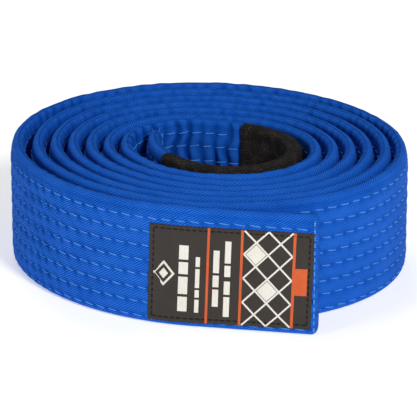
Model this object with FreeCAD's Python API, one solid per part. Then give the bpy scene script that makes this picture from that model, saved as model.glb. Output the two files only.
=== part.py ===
"""A quilted cotton martial arts belt, rolled into a flat coil that stands on its long edge.

The belt is a strip that follows one spiral, seen from above. Every piece of it is a band
that runs along a stretch of that spiral: it lies between two distances from the strip's
middle surface (positive is away from the coil's eye) and between two heights.
The spiral starts near the label, at the front, and runs clockwise inwards; its place along
the way is counted in turns. Before the start the label end leaves the coil in a straight
line, and after the rank sleeve the bare inner tip bends away on one wide arc.
"""
import FreeCAD, Part
import math
import os

# The strip, in millimetres
WIDTH = 44.0
THICK = 4.8
CLOTH = 0.6
HEM_HEIGHT = 8.0
SEAM_GAP = 0.2
MIDDLE_PLY = 1.6

# Stitching
ROWS = 8
TOP_ROW = 39.4
ROW_PITCH = 5.3
THREAD = 0.2
THREAD_WIDTH = 0.7

# The spiral: mean radius, growth per turn, how far the inner turns lie towards the front
# and how far they leave a gap on the left, how far the coil is from round, how much
# tighter the last turn curls into the eye, and how far the inner tip pushes the turn
# outside it away
COIL_RADIUS = 70.6
TURN_PITCH = 6.4
DRIFT_FRONT = 0.85
LOOSE_LEFT = 1.2
LOOSE_TURNS = 1.5
ONCE_PER_TURN = (-1.1, -2.3)
TWICE_PER_TURN = (-1.65, -2.6)
EYE_DROP = 5.2
EYE_DROP_FROM = 6.45
EYE_DROP_TURNS = 0.9
TIP_PUSH = 1.4
TIP_PUSH_AT = 6.42
TIP_PUSH_TURNS = 0.2
CENTRE_X = 1.01
CENTRE_Y = -4.14

# Stretches of the strip, in turns along the spiral
LEAVES_COIL = 0.010
LABEL_FOLD = 0.054
SLEEVE_START = 6.60
SLEEVE_END = 7.13

# The two free ends, in millimetres
LABEL_RUN = 43.6
LABEL_RUN_PER_TURN = 2 * math.pi * 68.0
TIP_LENGTH = 28.0
TIP_ARC_RADIUS = 38.0
TIP_PER_TURN = 2 * math.pi * 25.0
LABEL_FOLD_GAP = 0.3
TIP_FOLD_GAP = 0.5

# Rank sleeve and woven label
SLEEVE_CLOTH = 0.45
SLEEVE_THREAD_INSET = 1.6
LABEL_LENGTH = 57.5
LABEL_BOTTOM = 2.3
LABEL_TOP = 37.9
LABEL_INSET = 1.5
LABEL_CLOTH = 0.35
LABEL_THREAD = 0.15
LABEL_STITCH_INSET = 1.4
TRIM = 0.05
END_SEAM_INSET = 0.8
ROW_INSET = 1.6

ARCS_PER_TURN = 12
HALF = THICK / 2
CORE = HALF - CLOTH


def eased(part):
    """A smooth step from 0 to 1."""
    part = min(max(part, 0.0), 1.0)
    return part * part * (3 - 2 * part)


def spiral(turn):
    """The middle of the strip on the coiled stretch."""
    angle = 2 * math.pi * turn
    radius = COIL_RADIUS - TURN_PITCH * turn
    radius += ONCE_PER_TURN[0] * math.cos(angle) + ONCE_PER_TURN[1] * math.sin(angle)
    radius += TWICE_PER_TURN[0] * math.cos(2 * angle) + TWICE_PER_TURN[1] * math.sin(2 * angle)
    radius += DRIFT_FRONT * turn * math.cos(angle)
    radius -= LOOSE_LEFT * eased(turn / LOOSE_TURNS) * math.sin(angle)
    radius -= EYE_DROP * eased((turn - EYE_DROP_FROM) / EYE_DROP_TURNS)
    radius += TIP_PUSH * eased(1 - abs(turn - TIP_PUSH_AT) / TIP_PUSH_TURNS)
    return FreeCAD.Vector(-radius * math.sin(angle), -radius * math.cos(angle), 0)


def coil_frame(turn):
    """Place and direction of the strip on the coiled stretch."""
    step = 1e-4
    along = spiral(turn + step) - spiral(turn - step)
    return spiral(turn), along.normalize()


def strip_frame(turn):
    """Place and direction of the strip anywhere, its free ends included."""
    if turn < LEAVES_COIL:
        start, along = coil_frame(LEAVES_COIL)
        return start + along * ((turn - LEAVES_COIL) * LABEL_RUN_PER_TURN), along
    if turn > SLEEVE_END:
        start, along = coil_frame(SLEEVE_END)
        bend = (turn - SLEEVE_END) * TIP_PER_TURN / TIP_ARC_RADIUS
        inward = FreeCAD.Vector(along.y, -along.x, 0)
        place = start + along * (TIP_ARC_RADIUS * math.sin(bend))
        place += inward * (TIP_ARC_RADIUS * (1 - math.cos(bend)))
        return place, along * math.cos(bend) + inward * math.sin(bend)
    return coil_frame(turn)


def at(turn, offset):
    """A point beside the strip's middle surface, on the floor."""
    place, along = strip_frame(turn)
    outward = FreeCAD.Vector(-along.y, along.x, 0)
    return place + outward * offset - FreeCAD.Vector(CENTRE_X, CENTRE_Y, 0)


def chain(start, end, offset):
    """Edges along the strip: one line on the straight run, and arcs, which end at fixed
    places all round the coil, so that bands side by side share their curves."""
    edges = []
    if start < LEAVES_COIL:
        corner = min(LEAVES_COIL, end)
        edges.append(Part.LineSegment(at(start, offset), at(corner, offset)).toShape())
        start = corner
        if corner == end:
            return edges
    stops = [start]
    cell = math.floor(start * ARCS_PER_TURN) + 1
    while cell / ARCS_PER_TURN < end:
        stops.append(cell / ARCS_PER_TURN)
        cell += 1
    stops.append(end)
    for first, last in zip(stops, stops[1:]):
        middle = (first + last) / 2
        arc = Part.Arc(at(first, offset), at(middle, offset), at(last, offset))
        edges.append(arc.toShape())
    return edges


def band(start, end, inner, outer, bottom, top):
    """A solid along the strip from one turn to another, between two offsets and heights."""
    outer_edges = chain(start, end, outer)
    inner_edges = chain(start, end, inner)
    first_end = Part.LineSegment(at(start, inner), at(start, outer)).toShape()
    last_end = Part.LineSegment(at(end, outer), at(end, inner)).toShape()
    wire = Part.Wire(Part.__sortEdges__(outer_edges + [last_end] + inner_edges + [first_end]))
    face = Part.Face(wire)
    face.translate(FreeCAD.Vector(0, 0, bottom))
    return face.extrude(FreeCAD.Vector(0, 0, top - bottom))


def turns_per_mm(turn):
    """How many turns one millimetre of strip takes."""
    if turn < LEAVES_COIL:
        return 1 / LABEL_RUN_PER_TURN
    if turn > SLEEVE_END:
        return 1 / TIP_PER_TURN
    step = 1e-4
    return 2 * step / (spiral(turn + step) - spiral(turn - step)).Length


def moved(turn, distance):
    """The place that lies a distance further along the strip, in turns."""
    steps = 200
    for _ in range(steps):
        turn += turns_per_mm(turn) * distance / steps
    return turn


def shell(start, end, closed_start, closed_end):
    """The twill shell: folded over at the top edge, its hems turned in at the bottom edge."""
    first = moved(start, CLOTH) if closed_start else moved(start, -1.0)
    last = moved(end, -CLOTH) if closed_end else moved(end, 1.0)
    body = band(start, end, -HALF, HALF, 0, WIDTH)
    above_hems = band(first, last, -CORE, CORE, CLOTH + HEM_HEIGHT, WIDTH - CLOTH)
    between_hems = band(first, last, -MIDDLE_PLY / 2, MIDDLE_PLY / 2, CLOTH, CLOTH + HEM_HEIGHT)
    seam = band(first, last, -SEAM_GAP / 2, SEAM_GAP / 2, -1, CLOTH)
    return body.cut([above_hems, between_hems, seam])


def plies(start, end):
    """The three core plies: the middle one is full height, the outer two stand on the hems."""
    side = MIDDLE_PLY / 2
    hem_top = CLOTH + HEM_HEIGHT
    top = WIDTH - CLOTH
    return {
        "core_outer_ply": band(start, end, side, CORE, hem_top, top),
        "core_middle_ply": band(start, end, -side, side, CLOTH, top),
        "core_inner_ply": band(start, end, -CORE, -side, hem_top, top),
    }


def row_thread(start, end, row, side):
    """One row of quilting thread on the outer (+1) or the inner (-1) face."""
    middle = TOP_ROW - ROW_PITCH * row
    inner, outer = sorted((side * HALF, side * (HALF + THREAD)))
    return band(start, end, inner, outer, middle - THREAD_WIDTH / 2, middle + THREAD_WIDTH / 2)


def cross_thread(turn, side, face, proud, bottom, top):
    """A line of thread that runs from edge to edge across one face of the strip."""
    inner, outer = sorted((side * face, side * (face + proud)))
    return band(turn, moved(turn, THREAD_WIDTH), inner, outer, bottom, top)


def rank_sleeve():
    """The black sleeve: a cloth tube round the strip near its inner end."""
    inside = HALF + THREAD
    outside = inside + SLEEVE_CLOTH
    tube = band(SLEEVE_START, SLEEVE_END, -outside, outside, 0, WIDTH)
    past = 0.01
    hollow = band(SLEEVE_START - past, SLEEVE_END + past, -inside, inside,
                  SLEEVE_CLOTH, WIDTH - SLEEVE_CLOTH)
    return tube.cut(hollow)


def sleeve_recess():
    """The room that the sleeve's cloth takes at the strip's top and bottom edges."""
    past = 0.002
    reach = HALF + 1.0
    lower = band(SLEEVE_START, SLEEVE_END + past, -reach, reach, -1, SLEEVE_CLOTH)
    upper = band(SLEEVE_START, SLEEVE_END + past, -reach, reach, WIDTH - SLEEVE_CLOTH, WIDTH + 1)
    return [lower, upper]


def sleeve_threads(sleeve):
    """Stitch lines across both faces at both ends of the sleeve, trimmed to its surface."""
    face = HALF + THREAD + SLEEVE_CLOTH - TRIM
    places = (moved(SLEEVE_START, SLEEVE_THREAD_INSET), moved(SLEEVE_END, -SLEEVE_THREAD_INSET))
    lines = []
    for place in places:
        for side in (1, -1):
            line = cross_thread(place, side, face, LABEL_THREAD + TRIM, 2, WIDTH - 2)
            lines.append(line.cut(sleeve))
    return Part.makeCompound(lines)


def label_stitching(start, end, face, label):
    """The line of thread round the label, a little inside its edges, trimmed to its surface."""
    frame = band(start, end, face - TRIM, face + LABEL_THREAD,
                 LABEL_BOTTOM + LABEL_STITCH_INSET, LABEL_TOP - LABEL_STITCH_INSET).cut(label)
    inset = LABEL_STITCH_INSET + THREAD_WIDTH
    inside = band(moved(start, THREAD_WIDTH), moved(end, -THREAD_WIDTH), face - 0.1, face + 1,
                  LABEL_BOTTOM + inset, LABEL_TOP - inset)
    return frame.cut(inside)


def build():
    """All nodes of the belt, by name."""
    nodes = {}
    outer_end = LEAVES_COIL - LABEL_RUN / LABEL_RUN_PER_TURN
    tip_start = moved(SLEEVE_END, TIP_FOLD_GAP)
    inner_end = SLEEVE_END + TIP_LENGTH / TIP_PER_TURN
    coil_start = moved(LABEL_FOLD, LABEL_FOLD_GAP)

    nodes["coil_shell"] = shell(coil_start, SLEEVE_END, False, False).cut(sleeve_recess())
    nodes["label_end_shell"] = shell(outer_end, LABEL_FOLD, True, False)
    nodes["tip_shell"] = shell(tip_start, inner_end, False, True)
    stretches = {
        "coil": (coil_start, SLEEVE_END),
        "label_end": (moved(outer_end, CLOTH), LABEL_FOLD),
        "tip": (tip_start, moved(inner_end, -CLOTH)),
    }
    for stretch, (start, end) in stretches.items():
        for name, ply in plies(start, end).items():
            nodes[stretch + "_" + name] = ply

    for row in range(ROWS):
        number = str(row + 1)
        nodes["needle_thread_row_" + number] = row_thread(coil_start, SLEEVE_END, row, 1)
        nodes["bobbin_thread_row_" + number] = row_thread(coil_start, SLEEVE_END, row, -1)
    ends = {
        "label_end": (moved(outer_end, ROW_INSET), LABEL_FOLD),
        "tip": (tip_start, moved(inner_end, -ROW_INSET)),
    }
    for stretch, (start, end) in ends.items():
        for kind, side in (("needle", 1), ("bobbin", -1)):
            rows = [row_thread(start, end, row, side) for row in range(ROWS)]
            nodes[stretch + "_" + kind + "_threads"] = Part.makeCompound(rows)
    seams = {
        "label_end": moved(outer_end, END_SEAM_INSET),
        "tip": moved(inner_end, -END_SEAM_INSET - THREAD_WIDTH),
    }
    for stretch, place in seams.items():
        lines = [cross_thread(place, side, HALF, THREAD, 1, WIDTH - 1) for side in (1, -1)]
        nodes[stretch + "_end_seam_thread"] = Part.makeCompound(lines)

    nodes["rank_sleeve"] = rank_sleeve()
    nodes["rank_sleeve_threads"] = sleeve_threads(nodes["rank_sleeve"])

    label_start = moved(outer_end, LABEL_INSET)
    label_end = moved(label_start, LABEL_LENGTH)
    face = HALF + THREAD
    nodes["woven_label"] = band(label_start, label_end, face, face + LABEL_CLOTH,
                                LABEL_BOTTOM, LABEL_TOP)
    nodes["woven_label_stitching"] = label_stitching(
        moved(label_start, LABEL_STITCH_INSET), moved(label_end, -LABEL_STITCH_INSET),
        face + LABEL_CLOTH, nodes["woven_label"])
    return nodes


os.makedirs("parts", exist_ok=True)
model = build()
whole = FreeCAD.BoundBox()
for name, shape in model.items():
    shape.exportStep("parts/" + name + ".step")
    whole.add(shape.BoundBox)
    print(name, shape.isValid(), len(shape.Solids), round(shape.Volume, 1))
print("box", whole)
fold = at(LABEL_FOLD, HALF)
print("label fold axis", fold)
print("tip fold axis", at(moved(SLEEVE_END, TIP_FOLD_GAP), -HALF))
print("outer end", at(LEAVES_COIL - LABEL_RUN / LABEL_RUN_PER_TURN, 0))
length = sum(edge.Length for edge in chain(LEAVES_COIL - LABEL_RUN / LABEL_RUN_PER_TURN,
                                           SLEEVE_END + TIP_LENGTH / TIP_PER_TURN, 0))
sleeve = sum(edge.Length for edge in chain(SLEEVE_START, SLEEVE_END, 0))
print("belt length", round(length, 1), "sleeve length", round(sleeve, 1))
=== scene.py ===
"""The looks of a quilted cotton martial arts belt, rolled into a coil, built round its CAD frame.

The belt is one strip. A place on it is given by s, the distance in millimetres from its
labelled outer end, w, the distance from its middle surface (positive is away from the
coil's eye), and z, the height. The strip's path is the one the CAD frame follows.
"""
import bpy
import math
import numpy as np
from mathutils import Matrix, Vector


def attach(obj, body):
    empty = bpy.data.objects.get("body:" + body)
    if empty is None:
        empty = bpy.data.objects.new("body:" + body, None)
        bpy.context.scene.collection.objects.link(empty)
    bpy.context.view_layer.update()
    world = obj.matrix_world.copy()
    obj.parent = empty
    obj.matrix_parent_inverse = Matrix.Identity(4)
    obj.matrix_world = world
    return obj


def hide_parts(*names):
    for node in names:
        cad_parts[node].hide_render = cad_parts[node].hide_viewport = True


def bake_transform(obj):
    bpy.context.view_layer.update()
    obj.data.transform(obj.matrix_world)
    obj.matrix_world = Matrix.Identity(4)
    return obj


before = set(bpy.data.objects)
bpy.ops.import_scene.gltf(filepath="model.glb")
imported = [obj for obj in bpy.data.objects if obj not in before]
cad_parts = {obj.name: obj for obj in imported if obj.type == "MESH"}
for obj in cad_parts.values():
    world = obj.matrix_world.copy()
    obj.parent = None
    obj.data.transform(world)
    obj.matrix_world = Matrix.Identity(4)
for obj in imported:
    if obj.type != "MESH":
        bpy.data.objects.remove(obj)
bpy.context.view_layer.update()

MM = 0.001
RANDOM = np.random.RandomState(11)

# ---------------------------------------------------------------- the strip's path
# Millimetres and turns: the belt's width, the spiral's mean radius and growth per turn, how
# far it is from round, and where its stretches begin and end
WIDTH = 44.0
COIL_RADIUS = 70.6
TURN_PITCH = 6.4
DRIFT_FRONT = 0.85
LOOSE_LEFT = 1.2
LOOSE_TURNS = 1.5
ONCE_PER_TURN = (-1.1, -2.3)
TWICE_PER_TURN = (-1.65, -2.6)
EYE_DROP = 5.2
EYE_DROP_FROM = 6.45
EYE_DROP_TURNS = 0.9
TIP_PUSH = 1.4
TIP_PUSH_AT = 6.42
TIP_PUSH_TURNS = 0.2
CENTRE_X = 1.01
CENTRE_Y = -4.14
LEAVES_COIL = 0.010
LABEL_FOLD = 0.054
SLEEVE_START = 6.60
SLEEVE_END = 7.13
LABEL_RUN = 43.6
TIP_LENGTH = 28.0
TIP_ARC_RADIUS = 38.0


def eased(part):
    """A smooth step from 0 to 1."""
    part = np.clip(part, 0.0, 1.0)
    return part * part * (3 - 2 * part)


def spiral(turn):
    """The middle of the strip on the coiled stretch, one row per turn value."""
    angle = 2 * math.pi * turn
    radius = COIL_RADIUS - TURN_PITCH * turn
    radius += ONCE_PER_TURN[0] * np.cos(angle) + ONCE_PER_TURN[1] * np.sin(angle)
    radius += TWICE_PER_TURN[0] * np.cos(2 * angle) + TWICE_PER_TURN[1] * np.sin(2 * angle)
    radius += DRIFT_FRONT * turn * np.cos(angle)
    radius -= LOOSE_LEFT * eased(turn / LOOSE_TURNS) * np.sin(angle)
    radius -= EYE_DROP * eased((turn - EYE_DROP_FROM) / EYE_DROP_TURNS)
    radius += TIP_PUSH * eased(1 - abs(turn - TIP_PUSH_AT) / TIP_PUSH_TURNS)
    return np.stack([-radius * np.sin(angle) - CENTRE_X, -radius * np.cos(angle) - CENTRE_Y], axis=-1)


def straight_and_bent_ends(points):
    """The whole path: the straight run of the label end, the coil, and the arc of the tip."""
    step = points[1] - points[0]
    along = step / np.linalg.norm(step)
    away = np.linspace(LABEL_RUN, 0, RUN_POINTS, endpoint=False)[:, None]
    run = points[0] - along * away
    step = points[-1] - points[-2]
    along = step / np.linalg.norm(step)
    inward = np.array([along[1], -along[0]])
    bend = np.linspace(0, TIP_LENGTH / TIP_ARC_RADIUS, RUN_POINTS + 1)[1:, None]
    arc = points[-1] + TIP_ARC_RADIUS * (along * np.sin(bend) + inward * (1 - np.cos(bend)))
    return np.concatenate([run, points, arc])


RUN_POINTS = 60
TURNS = np.linspace(LEAVES_COIL, SLEEVE_END, 24000)
PATH = straight_and_bent_ends(spiral(TURNS))
S_OF_POINT = np.concatenate([[0], np.cumsum(np.linalg.norm(np.diff(PATH, axis=0), axis=1))])
LENGTH = S_OF_POINT[-1]


def s_at(turn):
    """The distance along the belt at a place that is given in turns."""
    coiled = S_OF_POINT[RUN_POINTS:-RUN_POINTS]
    return LABEL_RUN + np.interp(turn, TURNS, coiled - coiled[0])


def strip_frame(s):
    """The middle of the strip and its outward direction, for many places at once."""
    def place(where):
        return np.stack([np.interp(where, S_OF_POINT, PATH[:, k]) for k in (0, 1)], axis=-1)
    reach = 0.4
    low = np.clip(s - reach, 0, LENGTH)
    high = np.clip(s + reach, 0, LENGTH)
    along = place(high) - place(low)
    along /= np.linalg.norm(along, axis=-1, keepdims=True)
    return place(s), np.stack([-along[..., 1], along[..., 0]], axis=-1)


def to_space(s, w, z):
    """Points of the strip in the row's frame, in metres."""
    middle, outward = strip_frame(s)
    flat = middle + outward * w[..., None]
    return np.concatenate([flat, z[..., None]], axis=-1) * MM


# Places along the belt: the label end's fold, the rank sleeve, where the folds of the eye
# begin to deepen, and where one stretch of the shell gives way to the next
S_FOLD = float(s_at(LABEL_FOLD))
S_SLEEVE = (float(s_at(SLEEVE_START)), float(s_at(SLEEVE_END)))
S_EYE = float(s_at(5.9))
S_LABEL_JOIN = S_FOLD + 6.0
S_OUTER_JOIN = float(s_at(1.03))
S_EYE_JOIN = float(s_at(5.8))
S_TIP_JOIN = S_SLEEVE[1] - 8.0

# ---------------------------------------------------------------- quilting relief
# The strip is HALF thick on each side along a row of stitches, and a pillow bulges past that
HALF = 1.95
BULGE = 0.77
ROWS = 8
TOP_ROW = 39.4
ROW_PITCH = 5.3
ROW_WANDER = 0.5
STITCH = 5.2
STITCH_LENGTH = 3.9
HOLE_DIMPLE = 0.16
FINE_LUMPS = 0.06
EDGE_THINNING = 0.85
EDGE_RADIUS = 2.4
EDGE_POWER = 2.6
CORNER_RADIUS = 2.4
# How many faces cross one pillow, and how many go round one edge
FINE_ROW = 6
COARSE_ROW = 4
EDGE_FACES = 6
NOISE_TABLE = RANDOM.rand(256, 256)
ROW_START = np.array([np.cumsum(RANDOM.rand(ROWS + 2) - 0.5) * 2.4, RANDOM.rand(ROWS + 2) * STITCH])


def noise(x, y):
    """Smooth noise from 0 to 1 over a plane, with features one unit across."""
    x0, y0 = np.floor(x).astype(int), np.floor(y).astype(int)
    fx, fy = eased(x - x0), eased(y - y0)

    def table(i, j):
        return NOISE_TABLE[i % 256, j % 256]
    low = table(x0, y0) * (1 - fx) + table(x0 + 1, y0) * fx
    high = table(x0, y0 + 1) * (1 - fx) + table(x0 + 1, y0 + 1) * fx
    return low * (1 - fy) + high * fy


def row_height(s, row, side):
    """The height of a row of stitches, which wanders a little along the belt."""
    return TOP_ROW - ROW_PITCH * row + ROW_WANDER * (noise(s / 37.0, row * 9.0 + side * 40) - 0.5)


def stitch_phase(s, row, side):
    """How far along its stitch a place is: whole numbers are needle holes."""
    start = ROW_START[(side + 1) // 2, row]
    wander = 0.9 * noise(s / 31.0, row * 7.0 + 90 + side * 30) + 3.0 * noise(s / 43.0, s * 0 + 120)
    return (s + start + wander) / STITCH


def valley(s, row, side):
    """How deep a row's valley is along its stitches: full at the needle holes."""
    return 0.5 + 0.5 * (1 - np.abs(np.sin(math.pi * stitch_phase(s, row, side)))) ** 1.3


def on_the_left(s):
    """1 on the left of the outer turn, where the cloth is most rumpled, and 0 elsewhere."""
    return eased((s - 60) / 50.0) * eased((250 - s) / 60.0)


def gathers(s, across):
    """The folds on the hollow face, which run from one row's needle holes to the next row's."""
    upper = np.clip(np.floor(across), 0, ROWS - 1).astype(int)
    lower = np.clip(upper + 1, 0, ROWS - 1)
    share = eased(across - upper)
    phase = stitch_phase(s, upper, -1) * (1 - share) + stitch_phase(s, lower, -1) * share
    phase = phase + 0.4 * (noise(s / 6.0, across * 0.8 + 160) - 0.5)
    strength = 0.45 + 0.55 * eased((noise(s / 7.0, across * 0.45 + 25) - 0.2) / 0.4)
    depth = 1.0 + 0.85 * eased((s - S_EYE) / 60.0)
    return depth * strength * np.cos(math.pi * phase) ** 4


def tucks(s, from_row, phase):
    """The short slanting tucks on the round face, one at each needle hole."""
    slant = phase + 0.13 * from_row + 0.3 * (noise(s / 5.0, from_row / 4.0 + 160) - 0.5)
    strength = 0.4 + 0.6 * noise(s / 6.0, from_row / 5.0 + 85)
    fade = np.exp(-(from_row / 1.9) ** 2)
    depth = 0.1 + 0.95 * on_the_left(s)
    return depth * strength * fade * np.cos(math.pi * slant) ** 4


def relief(s, z, side):
    """How far a face stands from the strip's middle: pillows between the rows of stitches,
    which sag over each stitch, deepest at the needle holes, and folded where it is shortened."""
    wander = ROW_WANDER * (noise(s / 37.0, 3.0 + side * 40) - 0.5)
    across = (TOP_ROW + wander - z) / ROW_PITCH
    row = np.clip(np.round(across), 0, ROWS - 1).astype(int)
    band = np.clip(np.floor(across), -1, ROWS - 1)
    from_row = (across - row) * ROW_PITCH
    phase = stitch_phase(s, row, side)
    sag = 0.03 + 0.30 * on_the_left(s) * (side > 0)
    near = np.clip(1 - (2 * (across - row)) ** 2, 0, 1)
    sagged = across + sag * (np.abs(np.sin(math.pi * phase)) - 0.6) * near
    open_pillow = np.abs(np.sin(math.pi * np.clip(sagged, -0.5, ROWS - 0.5))) ** 0.7
    pillow = 1 - (1 - open_pillow) * valley(s, row, side)
    beyond = np.maximum(-across, across - (ROWS - 1))
    at_edge = eased(beyond / 0.6)
    pillow = pillow * (1 - EDGE_THINNING * at_edge)
    hole = (phase - np.round(phase)) * STITCH
    pulled = np.exp(-(hole / 0.9) ** 2 - (from_row / 0.8) ** 2)
    folds = tucks(s, from_row, phase) if side > 0 else gathers(s, across)
    fine = noise(s / 1.7, z / 2.6 + 7) - 0.5
    swell = noise(s / 19.0, band * 5.0 + 70) - 0.5
    folds = folds * (0.4 + 0.6 * open_pillow) * (1 - 0.4 * at_edge)
    return (HALF + BULGE * pillow - HOLE_DIMPLE * pulled - folds
            + FINE_LUMPS * (fine + swell * open_pillow))


def half_ring(per_pitch, per_edge):
    """The cross-section from the bottom's middle up one face to the top's middle: how much
    of the face's distance from the middle each point has, its height, and its way round."""
    count = int(round((WIDTH - 2 * EDGE_RADIUS) / ROW_PITCH * per_pitch))
    turn = np.linspace(0, math.pi / 2, per_edge + 1)[:-1]
    edge_w = np.sin(turn) ** (2 / EDGE_POWER)
    edge_z = EDGE_RADIUS * (1 - np.cos(turn) ** (2 / EDGE_POWER))
    face_z = np.linspace(EDGE_RADIUS, WIDTH - EDGE_RADIUS, count + 1)
    share = np.concatenate([edge_w, np.ones(count + 1), edge_w[::-1]])
    height = np.concatenate([edge_z, face_z, WIDTH - edge_z[::-1]])
    steps = np.hypot(np.diff(share) * HALF, np.diff(height))
    return share, height, np.concatenate([[0], np.cumsum(steps)])


def inside_sleeve(s):
    """1 where the rank sleeve holds the strip, 0 in the open."""
    return eased((s - S_SLEEVE[0] + 1) / 2.5) * eased((S_SLEEVE[1] + 1 - s) / 2.5)


HALF_WAY = float(half_ring(FINE_ROW, EDGE_FACES)[2][-1])


def end_taper(s, closed_start, closed_end):
    """How full the strip is near its closed ends."""
    length = 1.5
    full = np.ones_like(s)
    for closed, away in ((closed_start, s), (closed_end, LENGTH - s)):
        if closed:
            part = np.clip(away / length, 0, 1)
            full = np.minimum(full, 0.45 + 0.55 * (1 - (1 - part) ** 2.2) ** (1 / 2.2))
    return full


def new_mesh(name, points, faces, uvs, material):
    """A smooth mesh object with one UV map, which holds (s, way round) in metres."""
    mesh = bpy.data.meshes.new(name)
    mesh.from_pydata(points.tolist(), [], faces)
    mesh.polygons.foreach_set("use_smooth", [True] * len(mesh.polygons))
    layer = mesh.uv_layers.new(name="strip")
    index = np.empty(len(mesh.loops), int)
    mesh.loops.foreach_get("vertex_index", index)
    layer.data.foreach_set("uv", uvs[index].astype(np.float32).ravel())
    mesh.materials.append(material)
    made = bpy.data.objects.new(name, mesh)
    bpy.context.scene.collection.objects.link(made)
    return made


def strip_mesh(name, stops, per_pitch, per_edge, material, distance, ends=(False, False), wall=None):
    """A solid length of strip through the stops, or a cloth tube if it has a wall. distance(s,
    z, side) is how far each face stands from the middle, and ends says which ends are the
    belt's own, rounded and closed. Its attribute of how far out each point lies gives the
    twill its painted shade in the hollows of the quilting."""
    share, height, way = half_ring(per_pitch, per_edge)
    last = len(share) - 1
    side = np.concatenate([np.ones(last + 1, int), -np.ones(last - 1, int)])
    order = np.concatenate([np.arange(last + 1), np.arange(last - 1, 0, -1)])
    share, height, way = share[order], height[order], way[order] * side
    s, z = np.meshgrid(stops, height, indexing="ij")
    w = np.empty_like(s)
    for face in (1, -1):
        picked = side == face
        w[:, picked] = distance(s[:, picked], z[:, picked], face)
    full = end_taper(s, *ends)
    corner = np.zeros_like(s)
    for closed, away in ((ends[0], s), (ends[1], LENGTH - s)):
        if closed:
            short = np.clip(CORNER_RADIUS - away, 0, CORNER_RADIUS)
            corner = corner + CORNER_RADIUS - np.sqrt(CORNER_RADIUS ** 2 - short ** 2)
    z = WIDTH / 2 + (z - WIDTH / 2) * (1 - 2 * corner / WIDTH)
    rise = 0.4 * (noise(s / 26.0, z * 0 + 33) - 0.5) + 0.3 * (noise(s / 3.6, z * 0 + 35) - 0.5)
    z = z + rise * eased((z - 34) / 8) - (1 - full) * 0.9 * (z / WIDTH - 0.5)
    z = np.clip(z, 0.0, None)
    if wall is None:
        z = z + inside_sleeve(s) * 0.6 * (1 - 2 * z / WIDTH)
    w = w * (1 + 0.12 * (noise(s / 2.8, z / 3.0 + 80 + side * 9) - 0.5) * (1 - share))
    points = to_space(s, w * share * side * full, z).reshape(-1, 3)
    uvs = np.stack([s, np.broadcast_to(way, s.shape)], axis=-1).reshape(-1, 2) * MM
    ring = len(order)
    faces = []
    for column in range(len(stops) - 1):
        a = column * ring
        for k in range(ring):
            n = (k + 1) % ring
            faces.append((a + k, a + n, a + ring + n, a + ring + k))
    if wall is not None:
        inner_z = wall + z * (WIDTH - 2 * wall) / WIDTH
        inner = to_space(s, (w - wall) * share * side, inner_z).reshape(-1, 3)
        total = len(points)
        faces += [tuple(total + v for v in face[::-1]) for face in faces]
        end = (len(stops) - 1) * ring
        for k in range(ring):
            n = (k + 1) % ring
            faces.append((k, total + k, total + n, n))
            faces.append((end + n, total + end + n, total + end + k, end + k))
        return new_mesh(name, np.concatenate([points, inner]), faces,
                        np.concatenate([uvs, uvs]), material)
    sharp = set()
    for a, flip in ((0, True), ((len(stops) - 1) * ring, False)):
        for k in range(last):
            mirror = (ring - k) % ring
            beside = ring - k - 1 if k + 1 < last else last
            face = [a + k, a + k + 1, a + beside, a + mirror]
            face = list(dict.fromkeys(face))
            faces.append(tuple(face[::-1] if flip else face))
        sharp.update(range(a, a + ring))
    made = new_mesh(name, points, faces, uvs, material)
    mesh = made.data
    # How far out each point lies, which gives the twill its painted shade in the hollows.
    relief_height = mesh.attributes.new("relief_height", "FLOAT", "POINT")
    relief_height.data.foreach_set("value", np.clip((w - HALF) / BULGE, -1, 1).astype(np.float32).ravel())
    for edge in mesh.edges:
        i, j = edge.vertices
        if i in sharp and j in sharp:
            edge.use_edge_sharp = True
    return made


# ---------------------------------------------------------------- materials
# The pitch of each weave in millimetres, and the width and strength of the painted highlight on the edges
RIB_PITCH = 0.9
THREAD_PLY = 0.45
WEAVE_PITCH = 0.75
LABEL_RIB = 0.5
EDGE_HIGHLIGHT_WIDTH = 3.4
EDGE_HIGHLIGHT = 0.28


def new_material(name):
    """A node material, with its tree and its main shader."""
    material = bpy.data.materials.new(name)
    material.use_nodes = True
    return material, material.node_tree, material.node_tree.nodes["Principled BSDF"]


def node(tree, kind, inputs=None, **settings):
    """A new node with some of its inputs and settings filled in."""
    made = tree.nodes.new(kind)
    for key, value in settings.items():
        setattr(made, key, value)
    for key, value in (inputs or {}).items():
        made.inputs[key].default_value = value
    return made


def maths(tree, operation, first, second=None, clamp=False):
    """A Math node on sockets or numbers; returns its output."""
    made = node(tree, "ShaderNodeMath", operation=operation, use_clamp=clamp)
    for index, value in enumerate((first, second)):
        if value is None:
            continue
        if isinstance(value, (int, float)):
            made.inputs[index].default_value = value
        else:
            tree.links.new(value, made.inputs[index])
    return made.outputs[0]


def strip_uv(tree):
    """The way along and round the strip, in millimetres."""
    uv = node(tree, "ShaderNodeUVMap", uv_map="strip")
    scale = node(tree, "ShaderNodeVectorMath", operation="SCALE", inputs={"Scale": 1000.0})
    tree.links.new(uv.outputs[0], scale.inputs[0])
    split = node(tree, "ShaderNodeSeparateXYZ")
    tree.links.new(scale.outputs[0], split.inputs[0])
    return scale.outputs[0], split.outputs[0], split.outputs[1]


def textured_noise(tree, vector, scale, detail=3.0, rough=0.55):
    """Fractal noise with features 1 / scale across."""
    made = node(tree, "ShaderNodeTexNoise",
                inputs={"Scale": scale, "Detail": detail, "Roughness": rough})
    tree.links.new(vector, made.inputs["Vector"])
    return made.outputs["Fac"]


def stretched(tree, vector, x, y):
    """The place on the strip, scaled along and across it."""
    made = node(tree, "ShaderNodeVectorMath", operation="MULTIPLY")
    tree.links.new(vector, made.inputs[0])
    made.inputs[1].default_value = (x, y, 1.0)
    return made.outputs[0]


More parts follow.
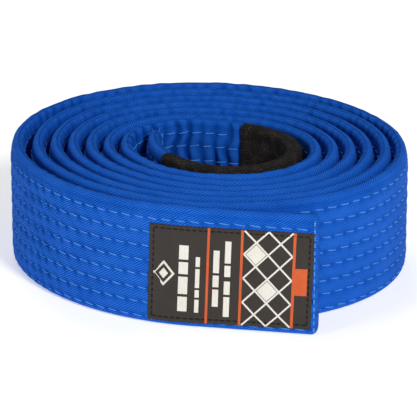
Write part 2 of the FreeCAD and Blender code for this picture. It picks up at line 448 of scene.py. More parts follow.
def ramp(tree, value, stops):
    """A colour for each value, by stops of (value, colour)."""
    made = node(tree, "ShaderNodeValToRGB")
    elements = made.color_ramp.elements
    while len(elements) < len(stops):
        elements.new(0.5)
    for element, (position, colour) in zip(elements, stops):
        element.position = position
        element.color = (*colour, 1.0)
    tree.links.new(value, made.inputs[0])
    return made.outputs[0]


def bump(tree, height, strength, distance, under=None):
    """A bumped normal, laid over the one under it."""
    made = node(tree, "ShaderNodeBump", inputs={"Strength": strength, "Distance": distance})
    tree.links.new(height, made.inputs["Height"])
    if under is not None:
        tree.links.new(under, made.inputs["Normal"])
    return made.outputs[0]


def twill_material():
    """Royal blue cotton drill: diagonal ribs, uneven dye, painted highlight along the edges, and
    painted shade in the hollows of the quilting, which leaves the crowns of the pillows paler."""
    material, tree, shader = new_material("blue_twill")
    vector, s, way = strip_uv(tree)
    wander = textured_noise(tree, stretched(tree, vector, 0.35, 0.35), 1.0, 2.0)
    diagonal = maths(tree, "ADD", maths(tree, "MULTIPLY", s, 0.65), way)
    diagonal = maths(tree, "ADD", diagonal, maths(tree, "MULTIPLY", wander, 0.8))
    rib = maths(tree, "SINE", maths(tree, "MULTIPLY", diagonal, 2 * math.pi / RIB_PITCH))
    rib = maths(tree, "ADD", maths(tree, "MULTIPLY", rib, 0.5), 0.5)
    yarn = textured_noise(tree, stretched(tree, vector, 2.2, 2.2), 1.0, 2.0)
    broken = maths(tree, "MULTIPLY", rib, maths(tree, "ADD", yarn, 0.45))
    cloud = textured_noise(tree, stretched(tree, vector, 0.09, 0.13), 1.0, 3.0)
    grain = textured_noise(tree, stretched(tree, vector, 3.2, 3.2), 1.0, 1.0)
    shade = maths(tree, "ADD", maths(tree, "MULTIPLY", broken, 0.46),
                  maths(tree, "MULTIPLY", cloud, 0.30))
    shade = maths(tree, "ADD", shade, maths(tree, "MULTIPLY", grain, 0.24))
    # Painted highlight: the cloth is lighter, patchy with the yarn, within a band of the top and bottom
    # edges.
    edge = maths(tree, "ABSOLUTE", maths(tree, "SUBTRACT", maths(tree, "ABSOLUTE", way), HALF_WAY / 2))
    edge = maths(tree, "SUBTRACT", edge, HALF_WAY / 2 - EDGE_HIGHLIGHT_WIDTH, clamp=True)
    painted_edge_highlight = maths(tree, "MULTIPLY", edge, maths(tree, "MULTIPLY", yarn, EDGE_HIGHLIGHT))
    shade = maths(tree, "ADD", shade, painted_edge_highlight)
    # Painted shade: darker where the cloth lies low, in the valleys, needle holes and folds of the quilting
    # and on the thinned edges.
    relief_height = node(tree, "ShaderNodeAttribute", attribute_name="relief_height", attribute_type="GEOMETRY")
    painted_hollow_shade = maths(tree, "SUBTRACT", relief_height.outputs["Fac"], 0.8)
    shade = maths(tree, "ADD", shade, maths(tree, "MULTIPLY", painted_hollow_shade, 0.23))
    colour = ramp(tree, shade, [(0.0, (0.0005, 0.030, 0.20)), (0.25, (0.001, 0.064, 0.385)),
                                (0.5, (0.004, 0.095, 0.50)), (0.8, (0.030, 0.17, 0.70))])
    tree.links.new(colour, shader.inputs["Base Color"])
    first = bump(tree, broken, 0.6, 0.0002)
    second = bump(tree, grain, 0.3, 0.00015, first)
    tree.links.new(second, shader.inputs["Normal"])
    rough = maths(tree, "ADD", maths(tree, "MULTIPLY", grain, 0.12), 0.8)
    tree.links.new(rough, shader.inputs["Roughness"])
    shader.inputs["Specular IOR Level"].default_value = 0.08
    return material


def thread_material(name, dark, light, specular):
    """Twisted sewing thread: fine slanting plies along the way it runs."""
    material, tree, shader = new_material(name)
    vector, s, way = strip_uv(tree)
    slant = maths(tree, "ADD", s, maths(tree, "MULTIPLY", way, 1.4))
    ply = maths(tree, "SINE", maths(tree, "MULTIPLY", slant, 2 * math.pi / THREAD_PLY))
    ply = maths(tree, "ADD", maths(tree, "MULTIPLY", ply, 0.5), 0.5)
    change = textured_noise(tree, stretched(tree, vector, 0.5, 0.5), 1.0, 2.0)
    shade = maths(tree, "ADD", maths(tree, "MULTIPLY", ply, 0.4), maths(tree, "MULTIPLY", change, 0.6))
    colour = ramp(tree, shade, [(0.15, dark), (0.85, light)])
    tree.links.new(colour, shader.inputs["Base Color"])
    tree.links.new(bump(tree, ply, 0.5, 0.00012), shader.inputs["Normal"])
    tree.links.new(maths(tree, "ADD", maths(tree, "MULTIPLY", change, 0.15), 0.42),
                   shader.inputs["Roughness"])
    shader.inputs["Specular IOR Level"].default_value = specular
    return material


def canvas_material():
    """Black cotton of the rank sleeve: plain weave, brown high spots where the dye has gone pale, and pale
    lint.
    """
    material, tree, shader = new_material("black_cotton")
    vector, s, way = strip_uv(tree)
    warp = maths(tree, "SINE", maths(tree, "MULTIPLY", s, 2 * math.pi / WEAVE_PITCH))
    weft = maths(tree, "SINE", maths(tree, "MULTIPLY", way, 2 * math.pi / WEAVE_PITCH))
    weave = maths(tree, "ADD", maths(tree, "MULTIPLY", maths(tree, "MULTIPLY", warp, weft), 0.5), 0.5)
    cloud = textured_noise(tree, stretched(tree, vector, 0.22, 0.3), 1.0, 2.0)
    lint = textured_noise(tree, stretched(tree, vector, 1.6, 2.2), 1.0, 3.0, 0.7)
    shade = maths(tree, "ADD", maths(tree, "MULTIPLY", cloud, 0.25), maths(tree, "MULTIPLY", lint, 0.75))
    colour = ramp(tree, shade, [(0.36, (0.004, 0.0036, 0.003)), (0.52, (0.012, 0.010, 0.0085)),
                                (0.72, (0.10, 0.086, 0.073))])
    tree.links.new(colour, shader.inputs["Base Color"])
    first = bump(tree, weave, 0.5, 0.0002)
    tree.links.new(bump(tree, lint, 0.7, 0.0005, first), shader.inputs["Normal"])
    tree.links.new(maths(tree, "ADD", maths(tree, "MULTIPLY", lint, 0.15), 0.8),
                   shader.inputs["Roughness"])
    shader.inputs["Specular IOR Level"].default_value = 0.15
    return material


def satin_material(name, dark, light):
    """Woven damask: fine ribs across the label, with threads that catch the light."""
    material, tree, shader = new_material(name)
    vector, s, _ = strip_uv(tree)
    rib = maths(tree, "SINE", maths(tree, "MULTIPLY", s, 2 * math.pi / LABEL_RIB))
    rib = maths(tree, "ADD", maths(tree, "MULTIPLY", rib, 0.5), 0.5)
    thread = textured_noise(tree, stretched(tree, vector, 0.8, 4.5), 1.0, 2.0)
    cloud = textured_noise(tree, stretched(tree, vector, 0.12, 0.12), 1.0, 2.0)
    shade = maths(tree, "ADD", maths(tree, "MULTIPLY", rib, 0.25), maths(tree, "MULTIPLY", thread, 0.5))
    shade = maths(tree, "ADD", shade, maths(tree, "MULTIPLY", cloud, 0.25))
    colour = ramp(tree, shade, [(0.25, dark), (0.8, light)])
    tree.links.new(colour, shader.inputs["Base Color"])
    tree.links.new(bump(tree, shade, 0.5, 0.00015), shader.inputs["Normal"])
    tree.links.new(maths(tree, "ADD", maths(tree, "MULTIPLY", thread, 0.2), 0.42),
                   shader.inputs["Roughness"])
    shader.inputs["Specular IOR Level"].default_value = 0.4
    return material


def core_material():
    """Undyed cotton wadding of the core plies."""
    material, tree, shader = new_material("cotton_core")
    vector = strip_uv(tree)[0]
    fibres = textured_noise(tree, stretched(tree, vector, 0.9, 0.4), 1.0, 4.0)
    colour = ramp(tree, fibres, [(0.3, (0.5, 0.47, 0.4)), (0.7, (0.78, 0.75, 0.68))])
    tree.links.new(colour, shader.inputs["Base Color"])
    tree.links.new(bump(tree, fibres, 0.5, 0.0003), shader.inputs["Normal"])
    shader.inputs["Roughness"].default_value = 0.95
    return material


TWILL = twill_material()
BLUE_THREAD = thread_material("blue_thread", (0.012, 0.14, 0.56), (0.15, 0.42, 0.92), 0.15)
BLACK_THREAD = thread_material("black_thread", (0.002, 0.002, 0.002), (0.014, 0.013, 0.012), 0.2)
CANVAS = canvas_material()
LABEL_GROUND = satin_material("label_ground", (0.0105, 0.0074, 0.005), (0.041, 0.029, 0.0215))
LABEL_WHITE = satin_material("label_white", (0.60, 0.56, 0.50), (0.90, 0.87, 0.80))
LABEL_ORANGE = satin_material("label_orange", (0.46, 0.056, 0.009), (0.74, 0.14, 0.027))
CORE = core_material()


# ---------------------------------------------------------------- the twill shell and its core
# The steps are the length of a face along the strip
HALF_IN_SLEEVE = 2.05
ROUNDED_END = np.array([0, 0.15, 0.4, 0.8, 1.3])
ROUNDED_END_LENGTH = 1.6
FINE_STEP = 0.62
COARSE_STEP = 2.0
END_STEP = 0.85
CORE_TOP = WIDTH - 3.6
HEMS_TOP = 9.4
MIDDLE_PLY_BOTTOM = 3.6


def squeezed_in_sleeve(s, z, side):
    """The shell's faces: quilted in the open, pressed flat inside the rank sleeve."""
    inside = inside_sleeve(s)
    return relief(s, z, side) * (1 - inside) + HALF_IN_SLEEVE * inside


def shell_piece(name, start, end, step, per_pitch, ends=(False, False)):
    """One stretch of the shell."""
    count = int(math.ceil((end - start) / step))
    stops = np.linspace(start, end, count + 1)
    if ends[0]:
        stops = np.concatenate([start + ROUNDED_END, stops[stops > start + ROUNDED_END_LENGTH]])
    if ends[1]:
        stops = np.concatenate([stops[stops < end - ROUNDED_END_LENGTH], end - ROUNDED_END[::-1]])
    piece = strip_mesh(name, stops, per_pitch, EDGE_FACES, TWILL, squeezed_in_sleeve, ends)
    return piece


def core_piece(name, start, end, step, low_w, high_w, low_z, node_name, body):
    """One ply of the cotton core, drawn in between the pillows of the shell."""
    count = int(math.ceil((end - start) / step))
    stops = np.linspace(start, end, count + 1)
    w = np.array([low_w, high_w, high_w, low_w])
    z = np.array([low_z, low_z, CORE_TOP, CORE_TOP])
    grid_s = np.repeat(stops[:, None], 4, axis=1)
    points = to_space(grid_s, np.broadcast_to(w, grid_s.shape), np.broadcast_to(z, grid_s.shape))
    faces = [(0, 1, 2, 3), tuple(count * 4 + k for k in (3, 2, 1, 0))]
    for a in range(0, count * 4, 4):
        for k in range(4):
            n = (k + 1) % 4
            faces.append((a + k, a + 4 + k, a + 4 + n, a + n))
    uvs = np.stack([grid_s, np.broadcast_to(z, grid_s.shape)], axis=-1).reshape(-1, 2) * MM
    piece = new_mesh(name, points.reshape(-1, 3), faces, uvs, CORE)
    piece.data.shade_flat()
    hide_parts(node_name)
    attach(piece, body)


def build_cores():
    """The three plies of the core, on each of the belt's three stretches."""
    plies = (("outer", 0.34, 0.72, HEMS_TOP), ("middle", -0.3, 0.3, MIDDLE_PLY_BOTTOM),
             ("inner", -0.72, -0.34, HEMS_TOP))
    stretches = (("coil", S_FOLD + 3.0, S_SLEEVE[1] - 1.0, 2.6), ("label_end", 2.4, S_FOLD - 2.0, 3.0),
                 ("tip", S_SLEEVE[1] + 3.0, LENGTH - 2.4, 2.0))
    for body, start, end, step in stretches:
        for ply, low_w, high_w, low_z in plies:
            node_name = body + "_core_" + ply + "_ply"
            core_piece("cotton_" + node_name, start, end, step, low_w, high_w, low_z, node_name, body)


def label_blend(piece):
    """Bakes the piece's placement into its mesh; the ends of the label end's fold are found but not used,
    so the piece does not bend.
    """
    start = to_space(np.array([S_FOLD + 4.5]), np.array([0.0]), np.array([WIDTH / 2]))[0]
    end = to_space(np.array([S_FOLD - 0.6]), np.array([0.0]), np.array([WIDTH / 2]))[0]
    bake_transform(piece)


def tip_blend(piece):
    """Bakes the piece's placement into its mesh; the ends of the tip's bend out of the rank sleeve are
    found but not used, so the piece does not bend.
    """
    start = to_space(np.array([S_SLEEVE[1] - 1.0]), np.array([0.0]), np.array([WIDTH / 2]))[0]
    end = to_space(np.array([S_SLEEVE[1] + 4.0]), np.array([0.0]), np.array([WIDTH / 2]))[0]
    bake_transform(piece)


def build_shell():
    """The twill shell: three stretches of the coil, and the two ends."""
    stretches = (
        ("twill_outer_turn", S_LABEL_JOIN, S_OUTER_JOIN, FINE_STEP, FINE_ROW),
        ("twill_middle_turns", S_OUTER_JOIN, S_EYE_JOIN, COARSE_STEP, COARSE_ROW),
        ("twill_eye_turn", S_EYE_JOIN, S_TIP_JOIN, FINE_STEP, FINE_ROW),
    )
    for name, start, end, step, per_pitch in stretches:
        piece = shell_piece(name, start, end, step, per_pitch)
        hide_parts("coil_shell")
        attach(piece, "coil")
    label_end = shell_piece("twill_label_end", 0.0, S_LABEL_JOIN, END_STEP, FINE_ROW, (True, False))
    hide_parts("label_end_shell")
    label_blend(label_end)
    tip = shell_piece("twill_tip", S_TIP_JOIN, LENGTH, END_STEP, FINE_ROW, (False, True))
    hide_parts("tip_shell")
    tip_blend(tip)


# ---------------------------------------------------------------- stitches
THREAD_WIDTH = 0.42
THREAD_HEIGHT = 0.27
THREAD_TILT = 0.45
THREAD_LIFT = 0.06
THREAD_BURIED = 0.14
SEAM_WIDTH = 0.6
SEAM_HEIGHT = 0.26


def dashes(starts, lengths, rows_z, side, base, width, height, across=False, space=to_space, tilt=0.0):
    """Points, faces and UVs of many short raised threads that dive into the cloth at both
    ends. base(s, z) is the surface under them, across makes them run up the strip instead of
    along it, and tilt is how much each one rises along its length."""
    stations = np.array([0.0, 0.08, 0.28, 0.72, 0.92, 1.0])
    lift = np.array([-0.25, 0.55, 1.0, 1.0, 0.55, -0.25])
    round_w = np.array([-1.0, -0.72, 0.0, 0.72, 1.0])
    round_h = np.array([-0.6, 0.62, 1.0, 0.62, -0.6])
    count = len(starts)
    along = starts[:, None, None] + lengths[:, None, None] * stations[None, :, None]
    narrow = 0.55 + 0.45 * np.clip(lift, 0, 1)
    beside = rows_z[:, None, None] + width / 2 * round_w[None, None, :] * narrow[None, :, None]
    beside = beside + tilt * (stations[None, :, None] - 0.5) * (0.5 + RANDOM.rand(count)[:, None, None])
    along = np.broadcast_to(along, (count, 6, 5))
    beside = np.broadcast_to(beside, (count, 6, 5))
    rise = height * (round_h[None, None, :] * 0.5 + 0.5 * lift[None, :, None])
    rise = np.where(lift[None, :, None] < 0, -0.35 + 0.1 * round_h[None, None, :], rise)
    s, z = (beside, along) if across else (along, beside)
    middle = base(np.broadcast_to(s[:, :, 2:3], s.shape), np.broadcast_to(z[:, :, 2:3], z.shape))
    w = side * (middle + rise)
    points = space(s, w, z).reshape(-1, 3)
    uvs = np.stack([along, beside], axis=-1).reshape(-1, 2) * MM
    faces = []
    turned = ((side > 0) != across) != (space is not to_space)
    for d in range(count):
        a = d * 30
        for i in range(5):
            for k in range(5):
                n = (k + 1) % 5
                face = (a + i * 5 + k, a + i * 5 + n, a + (i + 1) * 5 + n, a + (i + 1) * 5 + k)
                faces.append(face if turned else face[::-1])
        first = tuple(a + k for k in range(5))
        final = tuple(a + 25 + k for k in range(5))
        faces.append(first[::-1] if turned else first)
        faces.append(final if turned else final[::-1])
    return points, faces, uvs


def joined(name, parts, material):
    """One object out of many small parts, each its points, faces and UVs."""
    points, faces, uvs, offset = [], [], [], 0
    for part_points, part_faces, part_uvs in parts:
        points.append(part_points)
        uvs.append(part_uvs)
        faces.extend(tuple(i + offset for i in face) for face in part_faces)
        offset += len(part_points)
    return new_mesh(name, np.concatenate(points), faces, np.concatenate(uvs), material)


def row_stitches(row, side, start, end):
    """One row's stitches whose middles lie between two places."""
    fine = np.linspace(0, LENGTH, 60000)
    phase = stitch_phase(fine, row, side)
    whole = np.arange(math.ceil(phase[0]), math.floor(phase[-1]))
    holes = np.interp(whole, phase, fine)
    gap = (STITCH - STITCH_LENGTH) / 2
    first = holes[:-1] + gap
    last = holes[1:] - gap
    middle = (first + last) / 2
    kept = (middle >= start) & (middle < end)
    first, last = first[kept], last[kept]
    z = row_height(first, row, side)

    def base(s, height):
        buried = THREAD_BURIED * on_the_left(s) * (side > 0)
        return HALF + BULGE * (1 - valley(s, row, side)) + THREAD_LIFT - buried
    return dashes(first, last - first, z, side, base, THREAD_WIDTH, THREAD_HEIGHT, tilt=THREAD_TILT)


def stitched(name, side, start, end, nodes):
    """All rows on one face between two places, which stand for the nodes."""
    parts = [row_stitches(row, side, start, end) for row in range(ROWS)]
    piece = joined(name, parts, BLUE_THREAD)
    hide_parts(*nodes)
    return piece


def build_stitches():
    """The needle thread on the outer face and the bobbin thread on the inner face."""
    for kind, side in (("needle", 1), ("bobbin", -1)):
        nodes = [kind + "_thread_row_" + str(row + 1) for row in range(ROWS)]
        coil = stitched(kind + "_threads_coil", side, S_LABEL_JOIN, S_SLEEVE[0] - 3, nodes)
        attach(coil, "coil")
        label_end = stitched(kind + "_threads_label_end", side, 4.0, S_LABEL_JOIN,
                             ["label_end_" + kind + "_threads"])
        label_blend(label_end)
        tip = stitched(kind + "_threads_tip", side, S_SLEEVE[1] + 2.5, LENGTH - 3.8,
                       ["tip_" + kind + "_threads"])
        tip_blend(tip)


def cross_line(s, side, base, low, high, pitch, height=SEAM_HEIGHT, space=to_space):
    """Stitches that run up the strip, from edge to edge."""
    starts = np.arange(low, high - pitch * 0.8, pitch)
    lengths = np.full(len(starts), pitch * 0.74)
    places = np.full(len(starts), s)
    return dashes(starts, lengths, places, side, base, SEAM_WIDTH, height, across=True, space=space)


def frayed_ends():
    """Loose thread ends that stand out of the tip's corners."""
    points, faces, count = [], [], 26
    for k in range(count):
        z = WIDTH - 1.2 - 5.0 * RANDOM.rand() ** 2 if k % 4 else 2.0 + 4.0 * RANDOM.rand()
        start = np.array([LENGTH - 0.8, (RANDOM.rand() - 0.5) * 2.4, z])
        lean = np.array([0.6 + RANDOM.rand(), 1.4 * (RANDOM.rand() - 0.5), 1.2 * (RANDOM.rand() - 0.4)])
        reach = 1.2 + 1.6 * RANDOM.rand()
        curl = (RANDOM.rand(3) - 0.5) * 1.2
        for i in range(5):
            part = i / 4
            centre = start + lean * reach * part + curl * part * part
            thick = 0.13 * (1 - 0.5 * part)
            for turn in (0, 2.1, 4.2):
                points.append(centre + thick * np.array([0, math.cos(turn), math.sin(turn)]))
        a = k * 15
        for i in range(4):
            for j in range(3):
                n = (j + 1) % 3
                faces.append((a + i * 3 + j, a + i * 3 + n, a + i * 3 + 3 + n, a + i * 3 + 3 + j))
        faces.append((a + 2, a + 1, a))
        faces.append((a + 12, a + 13, a + 14))
    points = np.array(points)
    over = points[:, 0] - LENGTH
    middle, outward = strip_frame(np.minimum(points[:, 0], LENGTH))
    along = np.stack([outward[:, 1], -outward[:, 0]], axis=-1)
    flat = middle + along * np.clip(over, 0, None)[:, None] + outward * points[:, 1:2]
    space = np.concatenate([flat, np.clip(points[:, 2:3], 0.2, WIDTH)], axis=1) * MM
    return space, faces, points[:, [0, 2]] * MM


def build_end_seams():
    """The seam across each end of the belt, and the tip's loose thread ends."""
    def cloth(s, z):
        return np.full_like(s, HALF + 0.5)
    for name, s, node_name, body in (
            ("label_end_seam_stitches", 1.2, "label_end_end_seam_thread", "label_end"),
            ("tip_seam_stitches", LENGTH - 1.2, "tip_end_seam_thread", "tip")):
        parts = [cross_line(s, side, cloth, 1.4, WIDTH - 1.4, 2.6) for side in (1, -1)]
        if body == "tip":
            parts.append(frayed_ends())
        piece = joined(name, parts, BLUE_THREAD)
        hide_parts(node_name)
        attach(piece, body)


# ---------------------------------------------------------------- rank sleeve
SLEEVE_INSIDE = 2.5
SLEEVE_CLOTH = 0.5
SLEEVE_STEP = 0.9
SLEEVE_ROLL = 0.25
HEM_INSET = 1.6


def sleeve_face(s, z, side):
    """The sleeve follows the belt under it softly, with small puckers on its hollow side."""
    fold = 1 - np.abs(np.sin(math.pi * (s / 5.6 + noise(s / 9.0, z / 12.0 + 140)))) ** 0.7
    depth = 0.08 if side > 0 else 0.34
    lumps = noise(s / 2.4, z / 2.4 + 170) - 0.5
    hem = np.exp(-((s - S_SLEEVE[0] - HEM_INSET) / 0.7) ** 2)
    hem = hem + np.exp(-((s - S_SLEEVE[1] + HEM_INSET) / 0.7) ** 2)
    return SLEEVE_INSIDE + SLEEVE_CLOTH + 0.16 * lumps - depth * fold * (1 - hem) - 0.15 * hem


def hem_face(s, z):
    """The sleeve's surface along its two stitched hems."""
    return np.full_like(s, SLEEVE_INSIDE + SLEEVE_CLOTH - 0.12)


def sleeve_lipped(s, z, side):
    """The sleeve's faces, rolled in a little at its two ends."""
    edge = np.minimum(s - S_SLEEVE[0], S_SLEEVE[1] - s)
    return sleeve_face(s, z, side) - 0.3 * (1 - eased(edge / 0.5))


def build_sleeve():
    """The sleeve's cloth tube and the stitches of its two hems."""
    start, end = S_SLEEVE
    stops = np.linspace(start, end, int((end - start) / SLEEVE_STEP) + 1)
    stops = np.concatenate([[start, start + SLEEVE_ROLL], stops[1:-1], [end - SLEEVE_ROLL, end]])
    sleeve = strip_mesh("rank_sleeve_cloth", stops, 5, EDGE_FACES, CANVAS, sleeve_lipped, wall=SLEEVE_CLOTH)
    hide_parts("rank_sleeve")
    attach(sleeve, "coil")
    parts = []
    for s in (start + HEM_INSET, end - HEM_INSET):
        for side in (1, -1):
            parts.append(cross_line(s, side, hem_face, 2.0, WIDTH - 2.0, 2.8, 0.24))
    stitches = joined("rank_sleeve_stitches", parts, BLACK_THREAD)
    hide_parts("rank_sleeve_threads")
    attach(stitches, "coil")


# ---------------------------------------------------------------- woven label
# A place on the label is given by x from its left edge and y from its bottom edge. Its
# corners are (s, z) on the strip, sewn on slightly out of square.
LABEL_LENGTH = 57.5
LABEL_HEIGHT = 35.6
LABEL_LEFT = ((59.4, 1.8), (58.1, 37.7))
LABEL_RIGHT = ((2.3, 2.7), (1.2, 38.0))
LABEL_LIFT = 2.62
LABEL_CLOTH = 0.34
LABEL_GRID = (74, 46)
LABEL_STITCH = 2.2
LABEL_STITCH_INSET = 1.4
WEFT_LIFT = 0.09
WEFT_PIECE = 2.0
NET_LINE = 0.62


def label_space(x, w, y):
    """Points of the label, in metres."""
    u, v = x / LABEL_LENGTH, y / LABEL_HEIGHT
    s, z = (
        (1 - u) * (LABEL_LEFT[0][k] * (1 - v) + LABEL_LEFT[1][k] * v)
        + u * (LABEL_RIGHT[0][k] * (1 - v) + LABEL_RIGHT[1][k] * v)
        for k in (0, 1)
    )
    return to_space(s, w, z)


def label_face(x, y):
    """The label's surface: it bridges the quilting, ripples a little, and dips along its seam."""
    rows = np.abs(np.sin(math.pi * (TOP_ROW - LABEL_LEFT[0][1] - y) / ROW_PITCH))
    soft = noise(x / 9.0, y / 7.0 + 210) - 0.5
    edge = np.minimum(np.minimum(x, LABEL_LENGTH - x), np.minimum(y, LABEL_HEIGHT - y))
    sewn = np.exp(-((edge - 1.4) / 0.6) ** 2)
    ripple = noise(x / 2.1, y / 2.1 + 230) - 0.5
    return (LABEL_LIFT + LABEL_CLOTH + 0.05 * rows + 0.14 * soft - 0.24 * sewn
            + 0.1 * ripple * np.exp(-(edge / 2.0) ** 2) - 0.14 * (1 - eased(edge / 0.5)))


def patch(outline):
    """A raised patch of weft on the label, closed on all sides."""
    outline = np.asarray(outline, float)
    x, y = outline[:, 0], outline[:, 1]
    count = len(outline)
    face = label_face(x, y)
    top = label_space(x, face + WEFT_LIFT, y)
    low = label_space(x, face - 0.12, y)
    faces = [tuple(range(count)), tuple(range(2 * count - 1, count - 1, -1))]
    for k in range(count):
        n = (k + 1) % count
        faces.append((n, k, count + k, count + n))
    uvs = np.stack([x, y], axis=-1) * MM
    return np.concatenate([top, low]), faces, np.concatenate([uvs, uvs])


def bar(left, right, low, high):
    """A straight bar, cut into short lengths so that it follows the label's curve."""
    parts = []
    xs = np.linspace(left, right, max(1, int(round((right - left) / WEFT_PIECE))) + 1)
    ys = np.linspace(low, high, max(1, int(round((high - low) / WEFT_PIECE))) + 1)
    for x0, x1 in zip(xs, xs[1:]):
        for y0, y1 in zip(ys, ys[1:]):
            parts.append(patch([(x0, y0), (x1, y0), (x1, y1), (x0, y1)]))
    return parts


def slanted_line(start, end, width):
    """A thin line of weft between two points of the label."""
    start, end = np.array(start, float), np.array(end, float)
    along = (end - start) / np.linalg.norm(end - start)
    beside = np.array([-along[1], along[0]]) * width / 2
    return patch([start - beside, end - beside, end + beside, start + beside])


def diamond(centre, half_wide, half_high, width=None):
    """A diamond, filled or as an outline whose width is a share of its size."""
    def corners(inset):
        wide, high = half_wide * (1 - inset), half_high * (1 - inset)
        x, y = centre
        return [(x - wide, y), (x, y - high), (x + wide, y), (x, y + high)]
    outer = corners(0.0)
    if width is None:
        return [patch([centre, a, b]) for a, b in zip(outer, outer[1:] + outer[:1])]
    inner = corners(width)
    edges = zip(outer, outer[1:] + outer[:1], inner[1:] + inner[:1], inner)
    return [patch(edge) for edge in edges]


def lattice(left, right, cells_wide, cells_high):
    """A net of diamonds between two of the orange lines, and the places of its crossings."""
    wide = (right - left) / cells_wide
    high = LABEL_HEIGHT / cells_high
    lines = []
    for i in range(cells_wide):
        for j in range(cells_high):
            rising = (i + j) % 2 == 0
            low, top = (j, j + 1) if rising else (j + 1, j)
            low_y = min(max(low * high, 0.3), LABEL_HEIGHT - 0.3)
            top_y = min(max(top * high, 0.3), LABEL_HEIGHT - 0.3)
            lines.append(slanted_line((left + i * wide, low_y), (left + (i + 1) * wide, top_y), NET_LINE))
    for i, j in ((2, 3), (1, 6)):
        lines += diamond((left + i * wide, j * high), wide - 0.7, high - 0.75)
    return lines


def build_label():
    """The label's cloth, its raised orange and white weft, and the stitches round it."""
    count_x, count_y = LABEL_GRID
    xs = np.linspace(0, LABEL_LENGTH, count_x + 1)
    ys = np.linspace(0, LABEL_HEIGHT, count_y + 1)
    x, y = np.meshgrid(xs, ys, indexing="ij")
    face = label_face(x, y)
    front = label_space(x, face, y).reshape(-1, 3)
    back = label_space(x, face - LABEL_CLOTH, y).reshape(-1, 3)
    row = count_y + 1
    total = len(front)
    faces = []
    for i in range(count_x):
        for j in range(count_y):
            a = i * row + j
            quad = (a, a + row, a + row + 1, a + 1)
            faces.append(quad)
            faces.append(tuple(total + v for v in quad[::-1]))
    border = list(range(row))
    border += [i * row + count_y for i in range(1, count_x + 1)]
    border += [count_x * row + j for j in range(count_y - 1, -1, -1)]
    border += [i * row for i in range(count_x - 1, 0, -1)]
    for a, b in zip(border, border[1:] + border[:1]):
        faces.append((a, b, total + b, total + a))
    uvs = np.stack([x, y], axis=-1).reshape(-1, 2) * MM
    label = new_mesh("label_cloth", np.concatenate([front, back]), faces,
                     np.concatenate([uvs, uvs]), LABEL_GROUND)
    top = LABEL_HEIGHT - 0.15
    orange = bar(20.2, 21.1, 0.15, top) + bar(32.0, 32.9, 0.15, top) + bar(50.3, 51.3, 0.15, top)
    orange += bar(51.3, 55.6, 12.4, 22.4)
    white = diamond((5.4, 17.8), 3.9, 4.7, 0.24) + diamond((5.4, 17.8), 1.6, 2.0)
    # Each column of bars: its left and right side, then where each bar starts and ends
    columns = (
        (10.6, 13.8, (4.2, 9.6), (10.6, 17.0), (18.0, 22.4), (23.4, 28.6)),
        (16.4, 17.9, (4.0, 8.8), (9.6, 12.4), (13.2, 20.2), (21.0, 24.6)),
        (22.6, 24.7, (6.6, 13.0), (13.9, 18.2), (19.1, 27.4)),
        (26.6, 28.7, (3.0, 10.4), (11.3, 16.2), (17.9, 22.0), (22.9, 31.0)),
    )
    for left, right, *spans in columns:
        for low, high in spans:
            white += bar(left, right, low, high)
    white += lattice(33.2, 50.2, 4, 8)
    orange_piece = joined("label_orange_weft", orange, LABEL_ORANGE)
    white_piece = joined("label_white_weft", white, LABEL_WHITE)
    for piece in (orange_piece, white_piece):
        piece.data.shade_flat()
    for piece in (label, orange_piece, white_piece):
        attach(piece, "label_end")
    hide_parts("woven_label")
    build_label_stitching()


def build_label_stitching():
    """The black stitches a little inside the label's edges."""
    inset = LABEL_STITCH_INSET
    length = LABEL_STITCH * 0.8
    parts = []
    for y in (inset, LABEL_HEIGHT - inset):
        starts = np.arange(inset, LABEL_LENGTH - inset - length, LABEL_STITCH)
        lengths = np.full(len(starts), length)
        parts.append(dashes(starts, lengths, np.full(len(starts), y), 1, label_face,
                            SEAM_WIDTH, SEAM_HEIGHT, space=label_space))
    for x in (inset, LABEL_LENGTH - inset):
        parts.append(cross_line(x, 1, label_face, inset, LABEL_HEIGHT - inset, LABEL_STITCH,
                                space=label_space))
    piece = joined("label_stitches", parts, BLACK_THREAD)
    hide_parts("woven_label_stitching")
    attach(piece, "label_end")


# ---------------------------------------------------------------- studio
def aim(thing, target):
    """Turns a camera or a light towards a point."""
    thing.rotation_euler = (Vector(target) - thing.location).to_track_quat("-Z", "Y").to_euler()


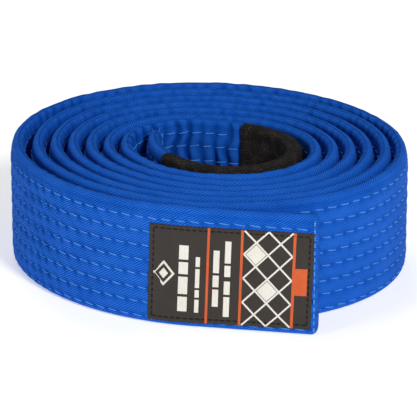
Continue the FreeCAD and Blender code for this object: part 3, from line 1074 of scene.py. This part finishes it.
def build_stage():
    """A plain pale floor under soft lights."""
    mesh = bpy.data.meshes.new("studio_floor")
    reach = 3.0
    mesh.from_pydata([(-reach, -reach, 0), (reach, -reach, 0), (reach, reach, 0), (-reach, reach, 0)],
                     [], [(0, 1, 2, 3)])
    floor = bpy.data.objects.new("studio_floor", mesh)
    bpy.context.scene.collection.objects.link(floor)
    material, tree, shader = new_material("studio_floor")
    shader.inputs["Base Color"].default_value = (0.9, 0.9, 0.9, 1)
    shader.inputs["Roughness"].default_value = 0.9
    shader.inputs["Emission Color"].default_value = (1, 1, 1, 1)
    shader.inputs["Emission Strength"].default_value = 0.4
    mesh.materials.append(material)
    world = bpy.data.worlds.new("studio")
    world.use_nodes = True
    background = world.node_tree.nodes["Background"]
    background.inputs["Color"].default_value = (1, 1, 1, 1)
    background.inputs["Strength"].default_value = 0.18
    bpy.context.scene.world = world
    for name, place, power, size in (
            ("key", (0.8, -1.35, 1.2), 24.5, 0.4),
            ("fill", (-1.3, -1.0, 0.6), 7.3, 0.5),
            ("top", (-0.2, 0.9, 1.3), 5.2, 0.6)):
        light = bpy.data.lights.new(name, "AREA")
        light.energy = power
        light.size = size
        lamp = bpy.data.objects.new(name, light)
        lamp.location = place
        aim(lamp, (0, 0, 0.02))
        bpy.context.scene.collection.objects.link(lamp)
    bpy.context.scene.view_settings.view_transform = "Standard"


def build_camera():
    """A long lens in front of the coil, looking down at it a little."""
    tilt = math.radians(20.6)
    away = 1.125
    target = (-CENTRE_X * MM, -CENTRE_Y * MM, 0.0225)
    data = bpy.data.cameras.new("camera")
    data.sensor_width = 36
    data.lens = 266
    data.shift_x = 0.0062
    data.shift_y = -0.029
    data.clip_start = 0.01
    camera = bpy.data.objects.new("camera", data)
    camera.location = (target[0], target[1] - away * math.cos(tilt), target[2] + away * math.sin(tilt))
    aim(camera, target)
    bpy.context.scene.collection.objects.link(camera)
    bpy.context.scene.camera = camera


build_camera()
build_stage()
build_cores()
build_shell()
build_stitches()
build_end_seams()
build_sleeve()
build_label()
